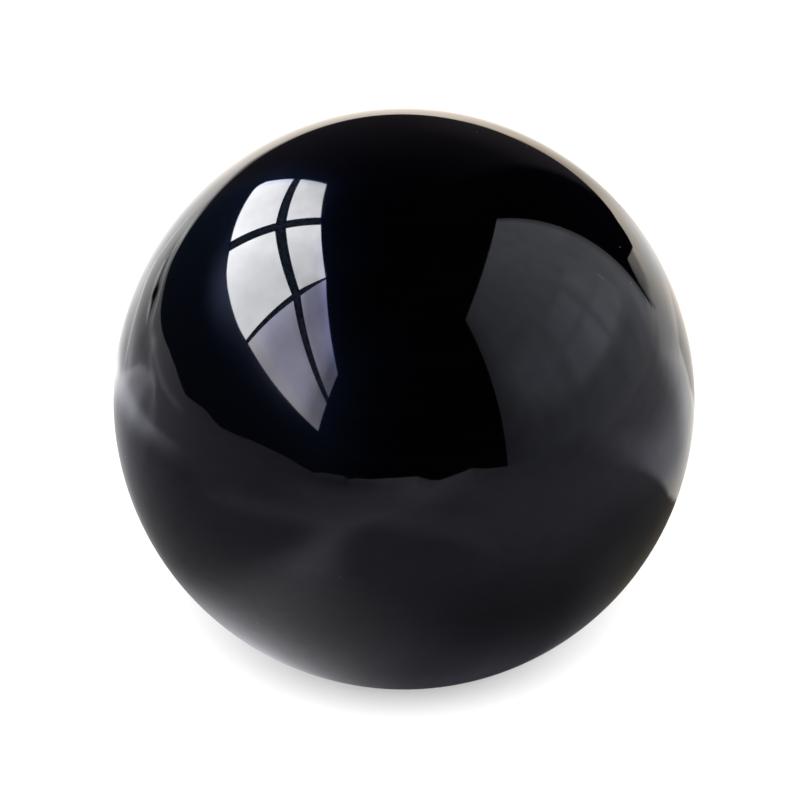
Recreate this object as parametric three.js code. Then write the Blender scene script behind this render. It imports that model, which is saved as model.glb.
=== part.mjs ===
// A solid sphere of polished obsidian, which stands on a small flat ground on its underside.
// Millimetres, +Z up. The origin is the centre of the flat, on the surface that the sphere stands on.
import * as THREE from "three";

// Driving dimensions
const SPHERE_DIAMETER = 60;
const FLAT_DIAMETER = 10; // the ground spot that keeps the sphere from rolling
const ARRIS_RADIUS = 0.4; // the eased edge where the flat meets the polished ball

// How finely the round faces are cut
const FACETS_ROUND = 72;
const FACETS_HALF_HEIGHT = 18; // from the arris to the widest ring, and from there to the top
const FACETS_ARRIS = 3;

const OBSIDIAN = new THREE.MeshStandardMaterial({ color: 0x050507, roughness: 0.03, metalness: 0 });

// An arc of the section, as facet corners from one angle to another.
function arc(centre, radius, from, to, facets) {
  return new THREE.EllipseCurve(centre.x, centre.y, radius, radius, from, to).getPoints(facets);
}

// Half of the sphere's upright section, as radius and height, from the centre of the flat to the top.
// The arris is an arc that touches both the flat and the inside of the ball's own circle, and the ball's
// arc has a corner exactly at its widest ring, so that the full diameter is kept.
function section() {
  const ballRadius = SPHERE_DIAMETER / 2;
  const flatRadius = FLAT_DIAMETER / 2;
  const betweenCentres = ballRadius - ARRIS_RADIUS;
  const ballHeight = ARRIS_RADIUS + Math.sqrt(betweenCentres ** 2 - flatRadius ** 2);

  const arrisCentre = new THREE.Vector2(flatRadius, ARRIS_RADIUS);
  const ballCentre = new THREE.Vector2(0, ballHeight);
  const down = -Math.PI / 2;
  const meeting = Math.atan2(ARRIS_RADIUS - ballHeight, flatRadius); // where the arris runs into the ball
  const widest = 0;
  const up = Math.PI / 2;

  return [
    new THREE.Vector2(0, 0),
    ...arc(arrisCentre, ARRIS_RADIUS, down, meeting, FACETS_ARRIS),
    ...arc(ballCentre, ballRadius, meeting, widest, FACETS_HALF_HEIGHT).slice(1),
    ...arc(ballCentre, ballRadius, widest, up, FACETS_HALF_HEIGHT).slice(1, -1),
    new THREE.Vector2(0, ballHeight + ballRadius),
  ];
}

function sphere() {
  const mesh = new THREE.Mesh(new THREE.LatheGeometry(section(), FACETS_ROUND), OBSIDIAN);
  mesh.name = "sphere";
  mesh.rotation.x = Math.PI / 2; // the section is turned about +Y, and the sphere stands along +Z
  return mesh;
}

const obsidianSphere = new THREE.Group();
obsidianSphere.add(sphere());

export default obsidianSphere;
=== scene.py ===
"""A polished obsidian sphere on a pale studio floor.

The ball is black volcanic glass, ground true and polished to a mirror, with a small flat ground on its
underside so that it stands without a holder. The file is laid out as an add-on, with one operator for the
ball and one for the stage, and is run as a script.
"""

import math

import bpy
import numpy as np
from bpy.props import FloatProperty, FloatVectorProperty, IntProperty, PointerProperty
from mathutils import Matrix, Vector, noise


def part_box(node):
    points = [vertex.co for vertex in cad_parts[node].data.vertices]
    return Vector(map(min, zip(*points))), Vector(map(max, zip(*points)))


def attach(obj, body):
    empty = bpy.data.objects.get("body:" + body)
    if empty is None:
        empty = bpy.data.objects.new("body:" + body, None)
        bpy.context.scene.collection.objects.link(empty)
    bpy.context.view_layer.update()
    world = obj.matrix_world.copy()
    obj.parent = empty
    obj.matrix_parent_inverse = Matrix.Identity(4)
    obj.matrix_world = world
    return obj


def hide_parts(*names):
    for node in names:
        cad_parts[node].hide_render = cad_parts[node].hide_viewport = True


bl_info = {
    "name": "Obsidian sphere",
    "version": (1, 0, 0),
    "blender": (4, 5, 0),
    "location": "3D View > Sidebar > Obsidian",
    "description": "A polished obsidian sphere with a small ground flat, and the stage that it is shown on",
    "category": "Object",
}

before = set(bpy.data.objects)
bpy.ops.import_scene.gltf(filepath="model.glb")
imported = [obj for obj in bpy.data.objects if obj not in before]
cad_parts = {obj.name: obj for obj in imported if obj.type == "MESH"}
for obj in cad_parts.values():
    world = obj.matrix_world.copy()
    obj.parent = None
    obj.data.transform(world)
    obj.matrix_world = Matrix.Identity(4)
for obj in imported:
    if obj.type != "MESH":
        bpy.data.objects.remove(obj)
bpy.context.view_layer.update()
BALL_LOW, BALL_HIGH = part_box("sphere")

MM = 0.001  # metres in a millimetre


# Shared helpers

def linear(hex_colour):
    """A colour written as sRGB hex, such as "#8090a0", as linear red, green and blue."""
    channels = (int(hex_colour[i:i + 2], 16) / 255 for i in (1, 3, 5))
    return tuple(c / 12.92 if c <= 0.04045 else ((c + 0.055) / 1.055) ** 2.4 for c in channels)


def colour_setting(name, description, hex_colour):
    """A colour that a user may change."""
    return FloatVectorProperty(
        name=name, description=description, subtype="COLOR", size=3, default=linear(hex_colour), min=0, max=1)


def add_node(tree, kind, inputs=None, **settings):
    """Adds a node. Inputs are numbers, colours or other nodes' outputs, and settings are its options."""
    node = tree.nodes.new(kind)
    for name, value in settings.items():
        setattr(node, name, value)
    for name, value in (inputs or {}).items():
        if isinstance(value, bpy.types.NodeSocket):
            tree.links.new(value, node.inputs[name])
        else:
            node.inputs[name].default_value = value
    return node


def new_material(name):
    """An empty node material and its tree."""
    material = bpy.data.materials.new(name)
    material.use_nodes = True
    material.node_tree.nodes.clear()
    return material, material.node_tree


def new_mesh_object(name, points, faces, material, smooth=False, paint=None):
    """A mesh object at the origin, whose place is in its points. Paint is a linear colour for each point."""
    mesh = bpy.data.meshes.new(name)
    mesh.from_pydata(points, [], faces)
    if paint is not None:
        layer = mesh.attributes.new("paint", "FLOAT_COLOR", "POINT")
        opaque = np.hstack([paint, np.ones((len(points), 1))])
        layer.data.foreach_set("color", opaque.astype(np.float32).ravel())
    mesh.materials.append(material)
    mesh.polygons.foreach_set("use_smooth", [smooth] * len(mesh.polygons))
    piece = bpy.data.objects.new(name, mesh)
    bpy.context.scene.collection.objects.link(piece)
    return piece


def towards(azimuth, elevation):
    """The direction at an azimuth, counted from the right towards the back, and an elevation, in degrees."""
    turn, up = math.radians(azimuth), math.radians(elevation)
    return Vector((math.cos(up) * math.cos(turn), math.cos(up) * math.sin(turn), math.sin(up)))


def grid_faces(rows, columns, closed):
    """Faces of a grid of points, in rows. A closed grid's last column meets its first."""
    faces = []
    for row in range(rows - 1):
        low, high = row * columns, (row + 1) * columns
        for k in range(columns if closed else columns - 1):
            after = (k + 1) % columns
            faces.append((low + k, low + after, high + after, high + k))
    return faces


def revolve(section, segments):
    """Turns a section of (radius, height) pairs about the upright axis, on which it starts and ends."""
    rings = section[1:-1]
    points = [(0.0, 0.0, section[0][1])]
    for radius, height in rings:
        for k in range(segments):
            turn = 2 * math.pi * k / segments
            points.append((radius * math.cos(turn), radius * math.sin(turn), height))
    points.append((0.0, 0.0, section[-1][1]))

    faces = []
    top, last_ring = len(points) - 1, 1 + (len(rings) - 1) * segments
    for k in range(segments):
        after = (k + 1) % segments
        faces.append((0, 1 + after, 1 + k))
        faces.append((top, last_ring + k, last_ring + after))
    faces += [tuple(1 + corner for corner in face) for face in grid_faces(len(rings), segments, True)]
    return points, faces


# The ball

def flat_width_in_frame():
    """The width of the ground flat in the CAD solid: its widest corners that lie on the floor."""
    floor_level = BALL_LOW.z + 0.001 * MM
    corners = [v.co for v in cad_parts["sphere"].data.vertices if v.co.z < floor_level]
    return 2 * max(math.hypot(c.x, c.y) for c in corners)


class BallSettings(bpy.types.PropertyGroup):
    """Sizes and finish of the obsidian ball."""
    width: FloatProperty(
        name="Width", description="Width of the ball at its widest ring",
        default=BALL_HIGH.x - BALL_LOW.x, min=0.03, max=0.12, precision=4, unit="LENGTH")
    height: FloatProperty(
        name="Height", description="Height of the ball's top above its flat",
        default=BALL_HIGH.z, min=0.028, max=0.12, precision=4, unit="LENGTH")
    flat_width: FloatProperty(
        name="Flat width", description="Width of the ground flat that the ball stands on",
        default=flat_width_in_frame(), min=0.004, max=0.02, precision=4, unit="LENGTH")
    arris_radius: FloatProperty(
        name="Arris radius", description="Radius of the eased edge round the flat",
        default=0.4 * MM, min=0.1 * MM, max=1 * MM, precision=5, unit="LENGTH")
    wave_depth: FloatProperty(
        name="Wave depth", description="Depth of the slow waves that hand polishing leaves",
        default=0.0025 * MM, min=0, max=0.02 * MM, precision=7, unit="LENGTH")
    wave_length: FloatProperty(
        name="Wave length", description="Distance from one polishing wave to the next",
        default=7 * MM, min=2 * MM, max=30 * MM, precision=4, unit="LENGTH")
    glass_colour: colour_setting("Glass", "Colour of the body of the glass", "#020203")
    smoke_colour: colour_setting("Smoke", "Colour of the thin flow bands in the glass", "#050507")
    speck_colour: colour_setting("Specks", "Colour of the bubbles that the polish has opened", "#a8a8ae")
    ground_colour: colour_setting("Ground flat", "Colour of the finely ground flat", "#1d1d20")
    refraction: FloatProperty(
        name="IOR", description="Refractive index of the glass", default=1.5, min=1.4, max=1.6)
    segments: IntProperty(
        name="Segments", description="Facets round the ball", default=256, min=64, max=300)


# Bubbles that the polish has opened: the azimuth and elevation of each, in degrees as the ball's centre sees
# it, and its radius in millimetres
BUBBLES = (
    (330.6, 43.3, 0.09), (330.9, 42.8, 0.08), (331.2, 42.3, 0.09), (340.2, 37.3, 0.13), (347.5, 42.9, 0.06),
    (28, 74, 0.05), (20, 64, 0.05), (332, 54.8, 0.05), (200, -1.3, 0.07), (205, -14.5, 0.07),
    (238, -23.7, 0.06), (258, -4.9, 0.05), (58, 24, 0.08), (88, -35, 0.07), (110, 48, 0.07), (141, 6, 0.07),
    (166, -28, 0.07), (42, -12, 0.07), (128, 66, 0.06))


def ball_section(settings):
    """Half of the ball's upright section, as radius and height, from the centre of the flat to the top."""
    ball_radius = settings.width / 2
    flat_radius = settings.flat_width / 2
    arris_radius = settings.arris_radius
    ball_height = settings.height - ball_radius
    meeting = math.atan2(arris_radius - ball_height, flat_radius)
    down, up = -math.pi / 2, math.pi / 2

    def arc(centre_radius, centre_height, radius, start, end, steps):
        angles = [start + (end - start) * k / steps for k in range(steps + 1)]
        return [(centre_radius + radius * math.cos(a), centre_height + radius * math.sin(a)) for a in angles]

    flat_rings, arris_steps, half_steps = 4, 8, 84
    flat = [(flat_radius * k / flat_rings, 0.0) for k in range(flat_rings)]
    arris = arc(flat_radius, arris_radius, arris_radius, down, meeting, arris_steps)
    below = arc(0.0, ball_height, ball_radius, meeting, 0.0, half_steps)
    above = arc(0.0, ball_height, ball_radius, 0.0, up, half_steps)
    return flat + arris + below[1:] + above[1:-1] + [(0.0, settings.height)]


def add_polishing_waves(points, settings):
    """Presses slow, shallow waves into the polished face, which make mirrored edges waver a little."""
    centre = Vector((0, 0, settings.height - settings.width / 2))
    waved = []
    for point in points:
        out = Vector(point) - centre
        sample = Vector(point) / settings.wave_length
        press = settings.wave_depth * (0.5 + 0.5 * noise.noise(sample))
        on_flat = point[2] < settings.arris_radius
        waved.append(point if on_flat else tuple(Vector(point) - out.normalized() * press))
    return waved


def polished_obsidian(settings):
    """Obsidian: natural volcanic glass, cut on a sphere mill and polished with fine oxide.

    The eye gets a black glass mirror: no colour of its own, weak reflections face on and strong ones at the
    rim. Thin smoky flow bands and a few opened bubbles, 0.1 to 0.3 mm across, show only close up. The flat is
    left finely ground, so it is a satin dark grey.
    """
    material, tree = new_material("polished_obsidian")
    place = add_node(tree, "ShaderNodeTexCoord").outputs["Object"]

    # Flow bands about 1.5 mm apart, drawn out to ten times that along the flow, which is tilted in the block
    band_spacing, band_stretch = 1.5 * MM, 10
    along, across = 1 / (band_spacing * band_stretch), 1 / band_spacing
    tilt = (math.radians(24), math.radians(-15), 0)
    flow = add_node(tree, "ShaderNodeMapping", {
        "Vector": place, "Rotation": tilt, "Scale": (along, along, across)})
    bands = add_node(tree, "ShaderNodeTexNoise", {
        "Vector": flow.outputs[0], "Scale": 1.0, "Detail": 4.0, "Roughness": 0.6, "Distortion": 0.6})
    smoke = add_node(tree, "ShaderNodeMapRange", {
        "Value": bands.outputs["Fac"], "From Min": 0.48, "From Max": 0.72}, interpolation_type="SMOOTHSTEP")

    # Opened bubbles, each a round speck that is fully pale over the inner part of its radius
    speck, full_part = None, 0.4
    centre = Vector((0, 0, settings.height - settings.width / 2))
    for azimuth, elevation, radius in BUBBLES:
        away = add_node(tree, "ShaderNodeVectorMath", {
            0: place, 1: centre + towards(azimuth, elevation) * settings.width / 2}, operation="DISTANCE")
        near = add_node(tree, "ShaderNodeMapRange", {
            "Value": away.outputs["Value"], "From Min": radius * MM, "From Max": full_part * radius * MM})
        speck = near if speck is None else add_node(tree, "ShaderNodeMath", {
            0: speck.outputs[0], 1: near.outputs[0]}, operation="MAXIMUM")
    speck = speck.outputs[0]

    # The ground flat, up to where the eased edge begins to climb
    height = add_node(tree, "ShaderNodeSeparateXYZ", {"Vector": place}).outputs["Z"]
    ground = add_node(tree, "ShaderNodeMapRange", {
        "Value": height, "From Min": 0.05 * MM, "From Max": 0.01 * MM}).outputs[0]

    # Colour: the glass, and over it in turn the smoke, the specks and the flat
    colour = (*settings.glass_colour, 1)
    for share, over in (
            (smoke.outputs[0], settings.smoke_colour), (speck, settings.speck_colour),
            (ground, settings.ground_colour)):
        colour = add_node(tree, "ShaderNodeMix", {
            0: share, 6: colour, 7: (*over, 1)}, data_type="RGBA").outputs[2]

    # Roughness: a full polish, duller in patches 12 mm across, broken at the specks and satin on the flat
    full_polish, duller_polish, broken_glass, ground_glass = 0.02, 0.045, 0.5, 0.42
    patches = add_node(tree, "ShaderNodeTexNoise", {"Vector": place, "Scale": 1 / (12 * MM), "Detail": 2.0})
    rough = add_node(tree, "ShaderNodeMapRange", {
        "Value": patches.outputs["Fac"], "From Min": 0.3, "From Max": 0.7,
        "To Min": full_polish, "To Max": duller_polish}).outputs[0]
    for share, over in ((speck, broken_glass), (ground, ground_glass)):
        rough = add_node(tree, "ShaderNodeMix", {0: share, 2: rough, 3: over}, data_type="FLOAT").outputs[0]

    # Relief: grinding grit on the flat, 0.06 mm, drawn at 0.15 mm so that it shows, and the bubbles as pits
    drawn_grit, relief_depth = 0.15 * MM, 0.02 * MM
    grit = add_node(tree, "ShaderNodeTexNoise", {"Vector": place, "Scale": 1 / drawn_grit, "Detail": 2.0})
    gritty = add_node(tree, "ShaderNodeMath", {0: grit.outputs["Fac"], 1: ground}, operation="MULTIPLY")
    relief = add_node(tree, "ShaderNodeMath", {0: gritty.outputs[0], 1: speck}, operation="SUBTRACT")
    bump = add_node(tree, "ShaderNodeBump", {
        "Height": relief.outputs[0], "Strength": 0.4, "Distance": relief_depth})

    shader = add_node(tree, "ShaderNodeBsdfPrincipled", {
        "Base Color": colour, "Roughness": rough, "IOR": settings.refraction, "Normal": bump.outputs[0]})
    add_node(tree, "ShaderNodeOutputMaterial", {"Surface": shader.outputs[0]})
    return material


class OBSIDIAN_OT_make_ball(bpy.types.Operator):
    """Makes the polished ball in place of the CAD solid"""
    bl_idname = "obsidian.make_ball"
    bl_label = "Make the ball"
    bl_options = {"REGISTER", "UNDO"}

    def execute(self, context):
        settings = context.scene.obsidian_ball
        if settings.flat_width >= settings.width:
            raise ValueError("the flat is as wide as the ball")
        points, faces = revolve(ball_section(settings), settings.segments)
        points = add_polishing_waves(points, settings)
        ball = new_mesh_object("obsidian_ball", points, faces, polished_obsidian(settings), smooth=True)
        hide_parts("sphere")
        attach(ball, "root")
        return {"FINISHED"}


# The stage

# The ball is a mirror, so what stands round it makes its look. The floor that is seen is plain and pale. A
# set that only reflections show stands round it: a barred bank of soft light on the left, a pale board on the
# right, and a sheet under the ball that runs back to a dark wall. The sheet lies flat, with its folds painted
# on as light and shade. It is lit by lamps and also carries painted light and shade. The bank glows as a
# lamp, and the board, the bank's frame and the wall glow with painted light.

BALL_CENTRE = Vector((0, 0, BALL_HIGH.z - (BALL_HIGH.x - BALL_LOW.x) / 2))
BALL_RADIUS = (BALL_HIGH.x - BALL_LOW.x) / 2

# The bank of light in millimetres from the ball's centre. It stands on four uprights, the back one first:
# where the foot of each stands in plan, how far it leans away for each millimetre of height, and the
# heights of the panes' edges there: bottom, under the rail, over it and top.
BANK_UPRIGHTS = (
    (-387, 638, 0.065, 282, 482, 533, 763),
    (-453, 289, 0.153, 287, 480, 536, 763),
    (-479, -107, 0.221, 269, 511, 555, 736),
    (-580, -874, 0.086, 270, 485, 536, 758),
)
BOTTOM, RAIL_LOW, RAIL_HIGH, TOP = 3, 4, 5, 6  # the columns of those heights
BANK_FOOT = 270  # the height at which the feet are measured
BANK_MARGIN = 12  # width of the dark frame over the panes and at both ends
BANK_SILL = 4  # width of the frame under the panes

# How many millimetres lower the panes' lower edge hangs, at places counted in uprights. It rises at the back
# corner. The sag goes from none to all of it between two heights.
BANK_SAG = (
    (0, -38), (0.043, -12), (0.09, -3), (0.14, 0), (1.02, 0), (1.12, 3.5), (1.28, 9), (1.42, 10),
    (1.55, 9), (1.7, 8.5), (1.85, 7), (2.0, 1.5), (2.1, 0))
BANK_SAG_SPAN = (480, 290)

# How far each upright's bar reaches before and after its middle, in millimetres: at the bottom, rail and top
BANK_BARS = (
    ((0, 0), (0, 0), (0, 0)),
    ((21, 25), (23, 27), (27, 33)),
    ((8, 9), (21, 10), (11, 2)),
    ((0, 0), (0, 0), (0, 0)),
)

# How bright the bank is along its leaves, counted in uprights, and how its front leaf dims and turns bluer
# with height
BANK_TONE = (
    (0, 7.4), (0.13, 9.6), (0.5, 10.8), (0.8, 13.1), (1.05, 15.4), (1.3, 14.6), (1.7, 12.2), (1.99, 13.0),
    (2, 7.0), (2.1, 5.2), (2.2, 4.3), (2.42, 5.1), (2.6, 4.4), (2.8, 2.25), (3, 2.2))
BANK_DIMMER_UP = ((280, 1.14), (310, 1.16), (370, 1.0), (450, 0.93), (600, 0.72), (690, 0.7), (730, 0.8))
BANK_BLUER_UP = (
    (285, 0.0), (330, 0.2), (370, 0.31), (565, 0.27), (600, 0.36), (680, 0.53), (720, 0.72), (745, 1.0))

# The pale board in millimetres from the ball's centre, and the share of its length by which its front end
# leans back at the top
BOARD_BACK = (607, 493)
BOARD_FRONT = (490, -622)
BOARD_TOP = 1078
BOARD_LEAN = 0.06

# How bright the board is from its front end to its back end: along its foot, at half height and above
BOARD_LOW = (
    (-620, 0.2), (-500, 0.28), (-400, 0.34), (-200, 0.45), (0, 0.53), (200, 0.56), (330, 0.67), (400, 0.8),
    (450, 0.72), (485, 0.35))
BOARD_MIDDLE = (
    (-620, 0.22), (-560, 0.32), (-500, 0.43), (-400, 0.56), (-200, 0.66), (-100, 0.7), (0, 0.74), (85, 0.84),
    (200, 0.84), (330, 0.8), (440, 0.76), (485, 0.4))
BOARD_HIGH = (
    (-620, 0.18), (-560, 0.28), (-500, 0.37), (-400, 0.49), (-200, 0.62), (-100, 0.7), (0, 0.8),
    (100, 0.88), (440, 0.9), (485, 0.42))
BOARD_SHADE_FROM = 90  # the height from which the painted shade at the foot gives way to the middle tones
BOARD_SHADE_TOP = ((-600, 600), (-500, 480), (-400, 330), (-300, 210), (-100, 160))  # and where it ends
BOARD_HIGH_SPAN = (400, 500)  # the heights between which the upper tones take over
BOARD_FOOT_SPAN = (-30, 25)  # the heights between which the sheet's own tone gives way to the board's
BOARD_FOOT_DIP = 3.0  # where on the sheet that tone is taken

# Patches of painted light on the board: start, end, bottom and top in millimetres, how much brighter they are
# at the start and at the end, and the softness of their edges
BOARD_PATCHES = (
    (-140, 76, 142, 270, 0.14, 0.38, 22), (-130, 72, 287, 415, 0.12, 0.27, 25),
    (104, 308, 146, 262, 0.22, 0.14, 22), (102, 298, 282, 424, 0.18, 0.11, 28),
    (-420, -195, 215, 420, 0.06, 0.06, 50))

# The mirrored sheet. Places on it are an azimuth, in degrees from the right towards the back, and a dip, the
# angle below level at which the ball's centre sees them. Its far edge is an elevation by azimuth.
FIRST_AZIMUTH, LAST_AZIMUTH = -60, 300
SHEET_REACH = 40  # in ball radii
SHEET_LIGHT = 2.4  # the light that falls on it, which its tones are divided by
SHEET_EDGE = (
    (-60, 1.2), (-50, -0.3), (40.4, -2.8), (41, 2.0), (43, 4.0), (45, 4.8), (46, 4.5), (54.6, -2.3),
    (57, -2.5), (60, -2.1), (63, -2.9), (66, -3.1), (69, -2.7), (72, -2.2), (75, -1.0), (78, 0.1),
    (81, 0.0), (84, 0.3), (87, -0.4), (90, -0.9), (93, -1.2), (96, -1.0), (99, -0.6), (102, 0.0),
    (105, 0.5), (108, 1.1), (111, 1.8), (117, 2.0), (120, 2.5), (123, 1.8), (127, 0.9), (131, 0.0),
    (140, -0.3), (144, -0.6), (148, -0.4), (152, 0.0), (160, 1.3), (167, 1.4), (172, 0.4), (177, -0.7),
    (182, 0.2), (187, 1.1), (190, 1.0), (193, 0.4), (197, 0.0), (203, 0.8), (210, 1.9), (216, 2.2),
    (222, 2.0), (227, 1.4), (233, -0.2), (237, -1.1), (241, -0.2), (248, -0.1), (250, -1.0), (253, -0.3),
    (258, -0.1), (264, 0.7), (270, 1.2), (275, 1.5), (280, -0.3), (283, -0.5), (290, 1.2), (295, 2.4),
    (300, 1.2))

# How pale the sheet is painted by dip: in painted shade in front, in painted shade on the right and in
# painted light on the right. The painted shade ends along a line of (dip, azimuth), softly over so many
# degrees, and the pale back of the sheet, painted as lit, starts along another.
FRONT_SHADE = (
    (1, 0.31), (7, 0.35), (14, 0.35), (20, 0.325), (26, 0.25), (30, 0.19), (38, 0.13), (44, 0.15), (60, 0.35))
RIGHT_SHADE = (
    (1, 0.33), (14, 0.35), (20, 0.275), (26, 0.19), (30, 0.195), (38, 0.27), (44, 0.345), (60, 0.6))
RIGHT_LIT = (
    (1, 0.57), (3, 0.55), (5, 0.485), (7, 0.45), (10, 0.44), (14, 0.54), (17, 0.66), (20, 0.76), (24, 0.9),
    (27, 1.2), (30, 1.5))
SHADE_EDGE = (
    (2, -17), (6, -16), (9, -14), (12, -10.5), (16, -4), (20, 1.5), (23, 6.0), (26, 10.5), (30, 16.5),
    (33, 25), (36, 40), (42, 68), (50, 92), (60, 112))
SHADE_SOFTNESS = ((4, 9), (10, 7), (14, 5), (20, 2.6), (30, 1.8), (34, 3), (42, 16), (60, 32))
PALE_EDGE = ((0, 32), (4, 31.5), (6, 27.5), (9, 26.5), (14, 28.5), (20, 27), (26, 28))

# The left of the sheet by azimuth: how pale it is painted far off and close by, as painted light behind the
# long fold and painted shade before it, and the dip at which the one gives way to the other
LEFT_SIDE = (
    (100, 1.6, 1.1, 28), (118, 1.5, 0.85, 28), (124, 1.3, 0.75, 26), (130, 1.0, 0.68, 24),
    (137, 0.72, 0.65, 22), (145, 0.52, 0.58, 20), (158, 0.5, 0.36, 18.3), (172, 0.37, 0.24, 16.1),
    (190, 0.285, 0.205, 14), (222, 0.255, 0.25, 14), (240, 0.35, 0.26, 13), (262, 0.41, 0.28, 13.5),
    (276, 0.39, 0.26, 15.5), (284, 0.38, 0.25, 17), (300, 0.34, 0.25, 24))

# A painted highlight along a ridge that runs forward from the ball on the left of the flat sheet: dip,
# azimuth, how much paler it is, and its spread to the left and to the right
RIDGE_HIGHLIGHT = (
    (8, 266, 0.0, 12, 9), (12, 256, 0.12, 10, 7), (14, 250, 0.22, 9, 6), (20, 245, 0.38, 6.5, 6),
    (26, 240, 0.47, 11, 10), (30, 236, 0.4, 15, 16), (38, 228, 0.42, 22, 26), (42, 221, 0.49, 28, 32),
    (46, 213, 0.66, 31, 37), (50, 209, 0.86, 33, 39), (56, 207, 0.94, 35, 40))

# Small folds, painted as light and shade on the flat sheet: the path of each by azimuth and dip, how much
# paler it is, or darker if below 0, and its spread on the far side, on the near side and at its ends, in
# degrees
PAINTED_FOLDS = (
    (((128, 21), (140, 18), (150, 16.2), (160, 15.2), (168, 14.0)), 0.55, 1.6, 2.8, 3.5),
    (((128, 22), (140, 18), (150, 16.0), (158, 15.0)), 0.4, 5.0, 3.6, 3.5),
    (((167, 14.0), (172, 13.2), (178, 12.4), (185, 11.8)), 0.42, 0.9, 2.4, 3.5),
    (((122, 11.0), (135, 11.5), (147, 13.5)), 0.31, 2.0, 2.0, 3.5),
    (((141, 17.0), (147, 13.2), (150, 10.2), (154, 8.4), (160, 7.3)), 0.42, 1.0, 2.0, 3.5),
    (((148, 13.5), (153, 11.5), (160, 11.0)), 0.2, 2.6, 2.6, 3.5),
    (((150, 3.9), (153, 5.0), (157, 6.2), (161, 6.9)), 0.28, 0.9, 1.1, 3.5),
    (((160, 6.3), (163, 7.2), (166, 9)), 0.3, 0.7, 0.8, 3.5),
    (((158, 6.3), (162, 7.5), (166, 10), (171, 13)), 0.2, 1.5, 2.4, 3.5),
    (((138, 4.9), (144, 4.5), (150, 3.9), (158, 4.2), (166, 4.8), (178, 4.5)), 0.26, 0.9, 0.6, 3.5),
    (((149, 4.4), (152, 3.0)), 0.28, 1.2, 0.9, 3.5),
    (((203, 16.2), (215, 15.2), (228, 14.3), (246, 13.2)), 0.11, 2.6, 2.4, 11),
    (((268, 2.5), (286, 2.5)), 0.12, 4.0, 5.0, 8),
    (((28, 6), (33, 10), (37, 12.5), (41, 16)), 0.15, 2.5, 2.5, 3.5),
    (((44, 11.7), (48.6, 11), (55, 12)), 0.11, 0.7, 0.5, 3.5),
    (((118, 4.5), (121, 6.3), (123, 8.7), (126, 9.6), (130, 10), (134, 11.2), (138, 13.3), (141, 15.8)),
     0.85, 0.4, 0.45, 3.5),
    (((121, -0.1), (125.4, 0.5), (127.4, 3.8), (131.4, 4.7), (136, 5), (141, 5.5)), 0.95, 0.4, 0.4, 3.5),
    (((129, 1.6), (134, 1.5), (139, 2.1), (143.5, 3.7)), 0.8, 0.35, 0.4, 3.5),
    (((126, 2.6), (128, 2.9), (132.5, 3.6), (137, 4), (142, 5)), -0.75, 0.5, 0.4, 3.5),
)

# The pleat on the right, painted as light and shade: dip and azimuth of its crease, which is painted paler
# before and darker beyond
PAINTED_PLEAT = ((12.5, 41.8), (14, 41.2), (16, 41), (18, 41.4), (20, 42), (24, 47))

# Painted shade in dark streaks and hollows: azimuth and dip of the middle, spread in each, and how much
# darker it is
HOLLOW_SHADES = (
    (135.5, 3.8, 1.9, 0.9, 1.9), (127, 3.2, 3, 1.3, 0.25), (135, 1.0, 6, 1.4, 0.3),
    (146, 7.2, 7, 1.8, 0.18), (71, 5, 6, 30, 0.3), (80, 6, 7, 2.5, 0.15), (286, 9, 8, 4, 0.18),
    (246, 2.3, 17, 3.0, 0.46), (275, 56, 26, 10, 0.3))

# Azimuths between which the sheet's sides give way to each other, and between which the far painted folds
# fade out
FRONT_TO_RIGHT = (-40, -12)
RIGHT_TO_LEFT = (92, 108)
LEFT_TO_FRONT = (262, 298)
FAR_FOLDS_END = (192, 165)

# The far edge's painted shade by azimuth: the dip that it reaches, and how dark it gets
FAR_EDGE_SHADE = (
    (40, 2.8, 0.5), (44, 3.6, 0.5), (47, 3.8, 0.5), (50, 2.8, 0.5), (54, 2.0, 0.5), (58, 2.0, 0.16),
    (62, 2.3, 0.25), (72, 3.0, 0.25), (80, 1.6, 0.25), (88, 1.4, 0.22), (94, 2.3, 0.18), (108, 2.4, 0.16),
    (116, 0.6, 0.16), (127, 0.0, 0.16), (131, 1.4, 0.16), (150, 1.4, 0.16), (156, 0.0, 0.16),
    (200, 0.0, 0.16))

# How warm the sheet's tint is by azimuth, 0 for its front colour and 1 for its back colour, and how much
# warmer it gets close to the ball
WARMTH = (
    (-15, 0.02), (0, 0.12), (15, 0.2), (30, 0.4), (45, 0.65), (60, 0.95), (68, 1.2), (76, 1.2), (90, 0.95),
    (105, 0.78), (116, 0.5), (135, 0.45), (150, 0.3), (165, 0.15), (180, 0.05), (200, 0.0))
WARMER_CLOSE_BY = (
    (-60, 0.0), (-30, 0.2), (-15, 0.4), (0, 0.7), (15, 0.9), (30, 0.6), (45, 0.2), (60, 0.0), (140, 0.05),
    (165, 0.35), (200, 0.35), (250, 0.35), (270, 0.05), (300, 0.0))


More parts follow.
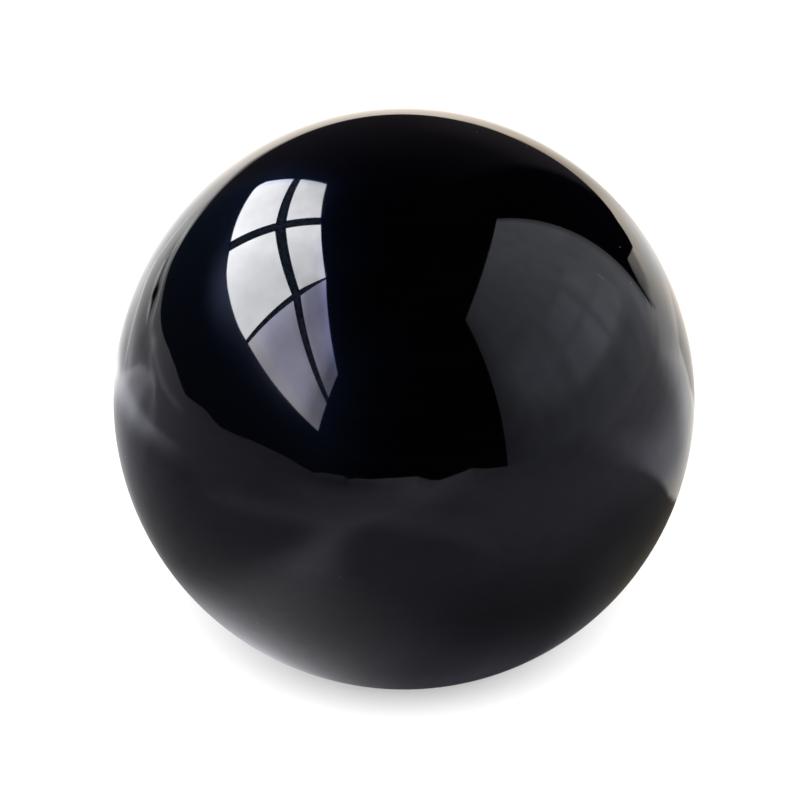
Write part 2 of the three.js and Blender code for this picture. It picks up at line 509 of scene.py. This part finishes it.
class StageSettings(bpy.types.PropertyGroup):
    """Camera, lights and colours of the stage."""
    camera_elevation: FloatProperty(
        name="Camera elevation", description="Angle of the camera above the floor, seen from the ball",
        default=math.radians(31), min=0, max=math.radians(89), subtype="ANGLE")
    camera_distance: FloatProperty(
        name="Camera distance", description="Distance from the camera to the ball's centre",
        default=0.36, min=0.1, max=2, unit="LENGTH")
    floor_colour: colour_setting("Floor", "Colour of the plain floor", "#e7e7e7")
    surround_light: FloatProperty(
        name="Surround light", description="Strength of the pale light from all round",
        default=0.35, min=0, max=10)
    key_light: FloatProperty(
        name="Front key", description="Strength of the soft light from the front on the floor",
        default=6.4, min=0, max=50)
    dome_light: FloatProperty(
        name="Dome", description="Strength of the light from overhead",
        default=2.67, min=0, max=50)
    side_light: FloatProperty(
        name="Side light", description="Strength of the wide light from the left on the mirrored sheet",
        default=5.9, min=0, max=50)
    bank_strength: FloatProperty(
        name="Light bank strength", description="Brightness of the light bank", default=1.0, min=0, max=100)
    bank_colour: colour_setting("Light bank", "Tint of the light bank's back panes", "#f8faff")
    bank_front_colour: colour_setting("Light bank, front", "Tint of its front panes, low down", "#f6f3ff")
    bank_front_high_colour: colour_setting(
        "Light bank, front and high", "Tint of its front panes, high up", "#bcc2ff")
    frame_colour: colour_setting("Bank frame", "Light of the bank's bars", "#aac4ff")
    frame_edge_colour: colour_setting("Bank frame, edge", "Light of the frame's outer edge", "#193fa2")
    board_colour: colour_setting("Board", "Colour of the pale board on the right", "#e7eaff")
    sheet_front_colour: colour_setting("Sheet, front", "Colour of the mirrored sheet in front", "#e7e7ff")
    sheet_back_colour: colour_setting("Sheet, back", "Colour of the sheet behind the ball", "#fff1e1")


def ramp(value, start, end):
    """0 at the start and 1 at the end, eased at both."""
    share = np.clip((value - start) / (end - start), 0, 1)
    return share * share * (3 - 2 * share)


def band(value, start, risen, falling, end):
    """0 up to the start, 1 from where it has risen to where it starts to fall, and 0 from the end."""
    return ramp(value, start, risen) * ramp(value, end, falling)


def trace(line, place):
    """Follows a line of (place, value) points."""
    places, values = zip(*line)
    return np.interp(place, places, values)


def columns_at(table, place):
    """Follows every column of a table whose first column is the place."""
    places, *columns = zip(*table)
    return [np.interp(place, places, values) for values in columns]


def mix(first, second, share):
    """The first at a share of 0, the second at 1."""
    return first + (second - first) * share


def streak(away, spread):
    """1 on a soft streak's middle line, falling to nothing away from it."""
    return np.exp(-(away / spread) ** 2)


def lumps(across, up, seed):
    """Smooth noise from about -1 to 1. Both places count its lumps, and each seed has its own."""
    return np.vectorize(lambda u, v: noise.noise((u, v, seed)))(across, up)


GREY = (1, 1, 1)  # the tint that changes nothing


def tinted(tone, colour):
    """A tone in a colour whose own lightness is taken out."""
    lightness = 0.2126 * colour[0] + 0.7152 * colour[1] + 0.0722 * colour[2]
    return tone[..., None] * np.array(colour) / lightness


def add_mirrored(name, points, material, paint, closed=False, smooth=False):
    """Adds a gridded piece that only reflections show, painted with a colour at each point."""
    rows, columns = points.shape[:2]
    faces = grid_faces(rows, columns, closed)
    piece = new_mesh_object(
        name, points.reshape(-1, 3).tolist(), faces, material, smooth=smooth, paint=paint.reshape(-1, 3))
    piece.visible_camera = False
    piece.visible_diffuse = False
    piece.visible_transmission = False
    piece.visible_shadow = False
    return piece


def only_seen(piece):
    """Shows a piece of the stage to the camera only: it isn't mirrored, and throws no light or shadow."""
    piece.visible_diffuse = False
    piece.visible_glossy = False
    piece.visible_shadow = False
    return piece


def stage_surface(name, kind, colour=None):
    """A surface that glows or is matt, in one colour or in the colours painted on its points."""
    material, tree = new_material(name)
    if colour is None:
        colour = add_node(tree, "ShaderNodeAttribute", attribute_name="paint").outputs["Color"]
    shader = add_node(tree, kind, {"Color": colour})
    add_node(tree, "ShaderNodeOutputMaterial", {"Surface": shader.outputs[0]})
    material.cycles.emission_sampling = "NONE"
    return material


def bank_column(upright, column):
    """A value of the bank's table part of the way from one upright to the next."""
    return np.interp(upright, range(len(BANK_UPRIGHTS)), [row[column] for row in BANK_UPRIGHTS])


def bank_points(upright, level):
    """Points of the bank, in metres. Upright counts from 0 to 3, and level is a height over the centre."""
    level = level - trace(BANK_SAG, upright) * ramp(level, *BANK_SAG_SPAN)
    rise = level - BANK_FOOT
    before = np.clip(np.floor(upright), 0, len(BANK_UPRIGHTS) - 2).astype(int)
    table = np.array(BANK_UPRIGHTS)
    first, last = table[before], table[before + 1]
    share = (upright - before)[..., None]
    ends = [np.stack([end[..., 0] + end[..., 2] * rise, end[..., 1], level], -1) for end in (first, last)]
    return mix(ends[0], ends[1], share) * MM + np.array(BALL_CENTRE)


def bank_light(upright, level, settings):
    """The light of the panes: nearly white at the back, dimmer and lilac in front, and softly mottled."""
    wide, fine = lumps(4.2 * upright, level / 75, 0.3), lumps(12 * upright, level / 30, 4.1)
    tone = trace(BANK_TONE, upright) * (1 + 0.1 * (wide + 0.6 * fine))
    beside_third_upright = streak(upright - 2, 0.14) * band(level, 540, 600, 660, 720)
    tone = tone * (1 - 0.25 * beside_third_upright)
    foot_gain, top_gain = 1.04, 0.93
    back = tinted(tone * mix(foot_gain, top_gain, ramp(level, 270, 760)), settings.bank_colour)

    tone = tone * trace(BANK_DIMMER_UP, level)
    lilac, blue = tinted(tone, settings.bank_front_colour), tinted(tone, settings.bank_front_high_colour)
    front = mix(lilac, blue, trace(BANK_BLUER_UP, level)[..., None])

    # The back panes turn bluer at their far end and towards the top in front
    bluer = 0.35 * ramp(upright, 0.12, 0.0) + 0.3 * ramp(level, 640, 760) * ramp(upright, 1.2, 1.95)
    back = mix(back, blue, bluer[..., None])
    return np.where((upright >= 2)[..., None], front, back) * settings.bank_strength


def frame_light(upright, level, settings):
    """The painted light of the dark frame: a mottled slate between the panes and navy outside them."""
    bottom, rail_low, rail_high, top = (bank_column(upright, k) for k in (BOTTOM, RAIL_LOW, RAIL_HIGH, TOP))
    inside = band(level, bottom - 4, bottom + 6, top - 6, top + 4) * band(upright, -0.01, 0.02, 2.98, 3.01)

    # Each bar has a painted highlight along its middle
    rail_middle = (rail_low + rail_high) / 2
    core = np.maximum(streak(upright - np.round(upright), 0.035), streak(level - rail_middle, 15))
    mottle = lumps(34 * upright, level / 8, 7.7)
    slate = tinted((0.09 + 0.12 * core) * (1 + 1.3 * mottle), settings.frame_colour)
    return mix(np.array(settings.frame_edge_colour), slate, inside[..., None])


def bank_grid(name, corners, material, light, settings, rows, columns, behind=0.0):
    """A gridded stretch of the bank between four (upright, level) corners, the two low ones first."""
    up, along = np.meshgrid(np.linspace(0, 1, rows), np.linspace(0, 1, columns), indexing="ij")
    (u0, z0), (u1, z1), (u2, z2), (u3, z3) = corners
    upright = mix(mix(u0, u1, along), mix(u2, u3, along), up)
    level = mix(mix(z0, z1, along), mix(z2, z3, along), up)
    add_mirrored(name, bank_points(upright, level) * (1 + behind), material, light(upright, level, settings))


def make_bank(settings):
    """Opal panes lit from behind, in three leaves, and a dark blue frame behind them that shows as bars.

    The frame is no lamp: it glows with painted light.
    """
    glow = stage_surface("soft_light_panes", "ShaderNodeEmission")
    frame_glow = stage_surface("painted_frame_light", "ShaderNodeEmission")
    last_leaf = len(BANK_UPRIGHTS) - 2
    for leaf in range(last_leaf + 1):
        near, far = BANK_UPRIGHTS[leaf], BANK_UPRIGHTS[leaf + 1]
        length = math.hypot(near[0] - far[0], near[1] - far[1])
        starts = [leaf + after / length for _, after in BANK_BARS[leaf]]
        ends = [leaf + 1 - before / length for before, _ in BANK_BARS[leaf + 1]]
        for row, (low, high) in enumerate(((BOTTOM, RAIL_LOW), (RAIL_HIGH, TOP))):
            corners = (
                (starts[row], near[low]), (ends[row], far[low]), (starts[row + 1], near[high]),
                (ends[row + 1], far[high]))
            bank_grid(f"pane_{leaf}_{row}", corners, glow, bank_light, settings, rows=24, columns=24)
        start = leaf - (BANK_MARGIN / length if leaf == 0 else 0)
        end = leaf + 1 + (BANK_MARGIN / length if leaf == last_leaf else 0)
        corners = (
            (start, near[BOTTOM] - BANK_SILL), (end, far[BOTTOM] - BANK_SILL),
            (start, near[TOP] + BANK_MARGIN), (end, far[TOP] + BANK_MARGIN))
        bank_grid(
            f"bank_frame_{leaf}", corners, frame_glow, frame_light, settings, rows=90, columns=80,
            behind=0.004)


def board_tone(x, y, z):
    """How bright the board's painted light is: like the sheet at its foot, with painted shade low in
    front and painted patches of light.
    """
    over_foot = ramp(z, BOARD_SHADE_FROM, trace(BOARD_SHADE_TOP, y))
    tone = mix(trace(BOARD_LOW, y), trace(BOARD_MIDDLE, y), over_foot)
    tone = mix(tone, trace(BOARD_HIGH, y), ramp(z, *BOARD_HIGH_SPAN))
    for start, end, low, high, start_gain, end_gain, soft in BOARD_PATCHES:
        inside = band(y, start - soft, start + soft, end - soft, end + soft)
        inside = inside * band(z, low - soft, low + soft, high - soft, high + soft)
        tone = tone + inside * mix(start_gain, end_gain, ramp(y, start, end))
    tone = tone * (1 + 0.1 * lumps(y / 55, z / 80, 5.5))
    foot_tone = sheet_tone(np.degrees(np.arctan2(y, x)), np.full_like(y, BOARD_FOOT_DIP))
    return mix(foot_tone, tone, ramp(z, *BOARD_FOOT_SPAN))


def make_board(settings):
    """A matt card board that stands upright on the right, cool in front and nearly neutral at the back.

    It is no lamp: it glows with painted light, the light that it would send back when lit.
    """
    rows, columns, closer_low_down = 110, 120, 1.5
    level, along = np.meshgrid(
        np.linspace(0, 1, rows) ** closer_low_down, np.linspace(0, 1, columns), indexing="ij")
    z = mix(-BALL_CENTRE.z / MM, BOARD_TOP, level)
    along = mix(BOARD_LEAN * np.clip(z / BOARD_TOP, 0, 1), 1, along)
    x = mix(BOARD_FRONT[0], BOARD_BACK[0], along)
    y = mix(BOARD_FRONT[1], BOARD_BACK[1], along)
    points = np.stack([x, y, z], -1) * MM + np.array(BALL_CENTRE)
    tone = board_tone(x, y, z)
    # The colour painted at each point is the board's painted light and shade, in its tint
    neutral = 0.5 * ramp(y, -400, 600)[..., None]
    paint = mix(tinted(tone, settings.board_colour), tinted(tone, GREY), neutral)
    add_mirrored("pale_board", points, stage_surface("board_painted_light", "ShaderNodeEmission"), paint)


def right_tone(azimuth, dip):
    """How pale the sheet is painted in front and on the right: in the ball's painted shade, in painted light
    beyond it, and at the back.
    """
    shade = mix(trace(FRONT_SHADE, dip), trace(RIGHT_SHADE, dip), ramp(azimuth, *FRONT_TO_RIGHT))
    beyond = azimuth - trace(SHADE_EDGE, dip)
    soft = trace(SHADE_SOFTNESS, dip)
    # A painted strip of light along the shade's edge
    paler_strip = 0.13 * streak(beyond - 9, 7) * band(dip, 5, 9, 18, 22)
    lit = trace(RIGHT_LIT, dip) + paler_strip
    far_off, close_by, behind = 1.08, 1.35, 1.4
    back = mix(mix(far_off, close_by, ramp(dip, 8, 13)), behind, ramp(azimuth, 40, 57))
    back_edge = trace(PALE_EDGE, dip)
    lit = mix(lit, back, ramp(azimuth, back_edge - 7, back_edge + 9))
    return mix(shade, lit, ramp(beyond, -soft, soft))


def left_tone(azimuth, dip):
    """How pale the sheet is painted on the left: painted light behind the long fold, painted shade before it,
    and the ridge's painted highlight.
    """
    far, near, change = columns_at(LEFT_SIDE, azimuth)
    tone = mix(far, near, ramp(dip, change - 3.0, change + 2.5))
    tone = mix(tone, trace(FRONT_SHADE, dip), ramp(azimuth, *LEFT_TO_FRONT) * ramp(dip, 20, 30))
    middle, gain, spread_left, spread_right = columns_at(RIDGE_HIGHLIGHT, dip)
    across = azimuth - middle
    return tone + gain * streak(across, np.where(across < 0, spread_left, spread_right))


def sheet_tone(azimuth, dip):
    """How pale the sheet is painted at a place, with its painted light and shade."""
    tone = mix(right_tone(azimuth, dip), left_tone(azimuth, dip), ramp(azimuth, *RIGHT_TO_LEFT))

    # Painted shade of the ball, close behind it
    tone = tone * (1 - 0.5 * ramp(dip, 42, 75) * band(azimuth, 40, 70, 120, 190))

    # The pleat's painted shade and highlight on the right, which fade out towards the ball
    across = azimuth - trace(PAINTED_PLEAT, dip)
    along = band(dip, 12, 13.5, 30, 46)
    tone = tone * (1 - 0.32 * along * band(across, -0.5, 0.6, 1, 30))
    tone = tone + 0.14 * along * streak(across + 1.5, 1.5)

    # The far edge's painted shade, where it falls into shade behind the ball
    reach, darkest = columns_at(FAR_EDGE_SHADE, azimuth)
    tone = tone * mix(1.0, darkest, ramp(dip, reach, reach - 3.2) * band(azimuth, 38, 41, 133, 152))

    for path, gain, far_spread, near_spread, soft in PAINTED_FOLDS:
        (first, _), (last, _) = path[0], path[-1]
        away = dip - trace(path, azimuth)
        fade = band(azimuth, first - soft, first + soft, last - soft, last + soft)
        if first < FAR_FOLDS_END[0]:
            fade = fade * ramp(azimuth, *FAR_FOLDS_END)
        tone = tone + gain * fade * streak(away, np.where(away < 0, far_spread, near_spread))
    for middle_azimuth, middle_dip, azimuth_spread, dip_spread, darker in HOLLOW_SHADES:
        inside = streak(azimuth - middle_azimuth, azimuth_spread) * streak(dip - middle_dip, dip_spread)
        tone = tone * (1 - darker * inside)
    return np.maximum(tone, 0.01)


def sheet_colour(azimuth, dip, settings):
    """The sheet's colour: its tone, in a tint from the front one through neutral to the back one."""
    warmth = trace(WARMTH, azimuth) + trace(WARMER_CLOSE_BY, azimuth) * ramp(dip, 19, 40)

    # Cooler again in the middle of the back, from a place that shifts a little with the dip
    cooler_from = mix(50, 58, ramp(dip, 10, 14))
    warmth = warmth - 0.4 * ramp(dip, 3, 8) * band(azimuth, cooler_from, cooler_from + 7, 78, 88)

    # Soft random mottle in the sheet's tone
    sheet_mottle = lumps(azimuth / 5 + dip / 3, dip / 1.7 - azimuth / 11, 2.2)
    tone = sheet_tone(azimuth, dip) * (1 + 0.07 * sheet_mottle) / SHEET_LIGHT
    cool, warm = tinted(tone, settings.sheet_front_colour), tinted(tone, settings.sheet_back_colour)
    colour = mix(cool, tinted(tone, GREY), np.clip(warmth / 0.5, 0, 1)[..., None])
    return mix(colour, warm, np.clip((warmth - 0.5) / 0.5, 0, 1.5)[..., None])


def make_sheet(settings):
    """A matt cotton sheet under the ball that lies flat, and whose far edge waves up and down a little."""
    # The near rows lie level, and the far rows rise from there to the far edge
    columns, far_rows, drop = 720, 24, 0.02 * MM
    near_dips = np.concatenate([
        [89.9], np.arange(85, 50, -2.5), np.arange(50, 18, -0.4), np.arange(18, 4.4, -0.25)])
    azimuth = np.linspace(FIRST_AZIMUTH, LAST_AZIMUTH, columns, endpoint=False)
    distances, heights, dips = [], [], []
    for dip in near_dips:
        distances.append(np.full(columns, 1 / math.tan(math.radians(dip))))
        heights.append(np.full(columns, -1.0))
        dips.append(np.full(columns, dip))
    last_dip, last_distance = near_dips[-1], distances[-1]
    edge = trace(SHEET_EDGE, azimuth)
    for share in np.linspace(0, 1, far_rows + 1)[1:]:
        distance = mix(last_distance, SHEET_REACH, share)
        elevation = mix(-last_dip, edge, share)
        distances.append(distance)
        heights.append(distance * np.tan(np.radians(elevation)))
        dips.append(-elevation)
    distance, height, dip = np.array(distances), np.array(heights), np.array(dips)
    turn = np.radians(azimuth)
    points = np.stack([distance * np.cos(turn), distance * np.sin(turn), height], -1) * BALL_RADIUS
    points = points + np.array(BALL_CENTRE) - np.array((0, 0, drop))
    # The colour painted at each point carries the sheet's painted light and shade, in its tint
    colour = sheet_colour(np.broadcast_to(azimuth, dip.shape), dip, settings)
    cotton = stage_surface("matt_cotton_sheet", "ShaderNodeBsdfDiffuse")
    return add_mirrored("mirrored_sheet", points, cotton, colour, closed=True, smooth=True)


# The dark wall's light: everywhere, round the light bank, at the back, in the bank's glow, under its panes
# and on the sill below them
WALL_DARK = linear("#0d0d16")
WALL_NAVY = linear("#1f2934")
WALL_BROWN = linear("#2f2b2d")
WALL_GLOW = linear("#243861")
WALL_UNDER_PANES = linear("#8689a6")
WALL_SILL = linear("#9bb1e7")


def wall_light(azimuth, elevation):
    """The dark surround: navy with a lit sill close round the light bank, and brown-grey at the back."""
    navy = band(azimuth, 112, 122, 235, 262) * ramp(elevation, 75, 20)
    brown = band(azimuth, 64, 68, 116, 124) * ramp(elevation, 70, 10)
    brown = brown * (1 + 0.9 * ramp(elevation, 26, 12) * ramp(azimuth, 92, 80))
    sill = 0.8 * ramp(elevation, 15, 28) ** 2 * ramp(elevation, 44, 32) * streak(azimuth - 163, 16)

    # Degrees outside the bank's outline, for the glow round it and the light under its panes
    upright = np.linspace(0, len(BANK_UPRIGHTS) - 1, 31)
    outline = []
    for column in (BOTTOM, TOP):
        points = bank_points(upright, bank_column(upright, column)) - np.array(BALL_CENTRE)
        x, y, z = np.moveaxis(points, -1, 0)
        turn = np.degrees(np.arctan2(y, x)) % 360
        outline.append(np.interp(azimuth, turn, np.degrees(np.arctan2(z, np.hypot(x, y)))))
    bottom, top = outline
    above_or_below = np.maximum(bottom - elevation, elevation - top)
    aside = np.maximum(turn[0] - azimuth, azimuth - turn[-1]) * np.cos(np.radians(elevation))
    outside = np.hypot(np.maximum(above_or_below, 0), np.maximum(aside, 0))
    glow = np.exp(-outside / 9) * mix(0.4, 1, ramp(azimuth, 106, 122))
    under = np.exp(-np.abs(bottom - elevation) / 2.8) * band(azimuth, 150, 172, 212, 236)

    light = np.array(WALL_DARK)
    for share, colour in (
            (navy, WALL_NAVY), (brown, WALL_BROWN), (glow, WALL_GLOW), (under, WALL_UNDER_PANES),
            (sill, WALL_SILL)):
        light = light + share[..., None] * np.array(colour)
    return light


def make_walls():
    """A round wall in dark paint behind the light bank and the sheet.

    It is no lamp: it glows with painted light, the bank's glow round it and a lit sill among that light.
    """
    rows, columns, lowest, highest, gap = 120, 240, -8, 84, 5
    elevations = np.linspace(lowest, highest, rows)
    azimuths = np.linspace(FIRST_AZIMUTH, LAST_AZIMUTH, columns, endpoint=False)
    elevation, azimuth = np.meshgrid(elevations, azimuths, indexing="ij")
    up, turn = np.radians(elevation), np.radians(azimuth)
    reach = (SHEET_REACH + gap) * BALL_RADIUS
    points = np.stack([np.cos(up) * np.cos(turn), np.cos(up) * np.sin(turn), np.sin(up)], -1) * reach
    # The wall glows with its painted light in place of being lit
    paint = stage_surface("painted_wall_light", "ShaderNodeEmission")
    light = wall_light(azimuth, elevation)
    add_mirrored("dark_wall", points + np.array(BALL_CENTRE), paint, light, closed=True)


def make_floor(settings):
    """The matt floor and white paper backdrop that are seen. The ball mirrors the sheet in their place."""
    reach, height, segments = 4.0, 4.0, 96
    turns = [2 * math.pi * k / segments for k in range(segments)]
    low = [(reach * math.cos(t), reach * math.sin(t), 0.0) for t in turns]
    high = [(x, y, height) for x, y, _ in low]
    white = stage_surface("white_paper_backdrop", "ShaderNodeEmission", (1, 1, 1, 1))
    only_seen(new_mesh_object("backdrop", low + high, grid_faces(2, segments, True), white))
    pale = stage_surface("pale_matt_floor", "ShaderNodeBsdfDiffuse", (*settings.floor_colour, 1))
    return only_seen(new_mesh_object("floor", low, [tuple(range(segments))], pale))


def make_lamps(settings, floor, sheet):
    """Wide far lamps, each on its own pieces only, that aren't mirrored. The key's shadow falls back."""
    for name, azimuth, elevation, spread, strength, lit_pieces in (
            ("front_key", 270, 32, 60, settings.key_light, [floor]),
            ("overhead_dome", 0, 90, 179, settings.dome_light, [floor, sheet]),
            ("side_light", 195, 40, 50, settings.side_light, [sheet])):
        lamp = bpy.data.lights.new(name, "SUN")
        lamp.energy = strength
        lamp.angle = math.radians(spread)
        sun = bpy.data.objects.new(name, lamp)
        sun.location = towards(azimuth, elevation)
        sun.rotation_mode = "QUATERNION"
        sun.rotation_quaternion = (-sun.location).to_track_quat("-Z", "Y")
        sun.visible_glossy = False
        receivers = bpy.data.collections.new(f"lit_by_{name}")
        for piece in lit_pieces:
            receivers.objects.link(piece)
        sun.light_linking.receiver_collection = receivers
        bpy.context.scene.collection.objects.link(sun)


def make_surround_light(settings):
    """Pale light from all round, which fills the shadows. The ball doesn't mirror it."""
    world = bpy.data.worlds.new("surround_light")
    world.use_nodes = True
    world.node_tree.nodes.clear()
    light = add_node(world.node_tree, "ShaderNodeBackground", {
        "Color": (1, 1, 1, 1), "Strength": settings.surround_light})
    add_node(world.node_tree, "ShaderNodeOutputWorld", {"Surface": light.outputs[0]})
    bpy.context.scene.world = world
    world.cycles_visibility.glossy = False


def make_camera(settings):
    """The camera at the photograph's viewing angle and framing."""
    # In pixels of a picture 800 wide: the outline's radius, and how far right of and above the middle it lies
    picture_half, outline_radius, outline_right, outline_above = 400, 290.9, 4.0, 1.3
    distance = settings.camera_distance
    outline_slope = BALL_RADIUS / math.sqrt(distance ** 2 - BALL_RADIUS ** 2)
    picture_slope = outline_slope * picture_half / outline_radius

    elevation = settings.camera_elevation
    back = Vector((0, -math.cos(elevation), math.sin(elevation)))
    right = Vector((1, 0, 0))
    up = right.cross(-back)
    pixel = distance * picture_slope / picture_half
    target = BALL_CENTRE - right * outline_right * pixel - up * outline_above * pixel

    data = bpy.data.cameras.new("camera")
    data.sensor_width = 36
    data.lens = data.sensor_width / 2 / picture_slope
    data.clip_start, data.clip_end = 0.01, 10
    camera = bpy.data.objects.new("camera", data)
    camera.location = BALL_CENTRE + back * distance
    camera.rotation_mode = "QUATERNION"
    camera.rotation_quaternion = (target - camera.location).to_track_quat("-Z", "Y")
    bpy.context.scene.collection.objects.link(camera)
    bpy.context.scene.camera = camera


class OBSIDIAN_OT_make_stage(bpy.types.Operator):
    """Makes the floor, the lights, the mirrored set and the camera"""
    bl_idname = "obsidian.make_stage"
    bl_label = "Make the stage"
    bl_options = {"REGISTER", "UNDO"}

    def execute(self, context):
        settings = context.scene.obsidian_stage
        make_camera(settings)
        make_surround_light(settings)
        make_bank(settings)
        make_board(settings)
        make_walls()
        make_lamps(settings, make_floor(settings), make_sheet(settings))
        context.scene.view_settings.view_transform = "Standard"
        return {"FINISHED"}


class OBSIDIAN_PT_panel(bpy.types.Panel):
    """Lists the ball's and the stage's settings and operators"""
    bl_idname = "OBSIDIAN_PT_panel"
    bl_label = "Obsidian sphere"
    bl_space_type = "VIEW_3D"
    bl_region_type = "UI"
    bl_category = "Obsidian"

    def draw(self, context):
        for settings, operator in (
                (context.scene.obsidian_ball, OBSIDIAN_OT_make_ball),
                (context.scene.obsidian_stage, OBSIDIAN_OT_make_stage)):
            box = self.layout.box()
            for name in settings.__annotations__:
                box.prop(settings, name)
            box.operator(operator.bl_idname)


CLASSES = (BallSettings, StageSettings, OBSIDIAN_OT_make_ball, OBSIDIAN_OT_make_stage, OBSIDIAN_PT_panel)


def register():
    for cls in CLASSES:
        bpy.utils.register_class(cls)
    bpy.types.Scene.obsidian_ball = PointerProperty(type=BallSettings)
    bpy.types.Scene.obsidian_stage = PointerProperty(type=StageSettings)


def unregister():
    del bpy.types.Scene.obsidian_stage
    del bpy.types.Scene.obsidian_ball
    for cls in reversed(CLASSES):
        bpy.utils.unregister_class(cls)


def main():
    register()
    bpy.ops.obsidian.make_stage()
    bpy.ops.obsidian.make_ball()


if __name__ == "__main__":
    main()
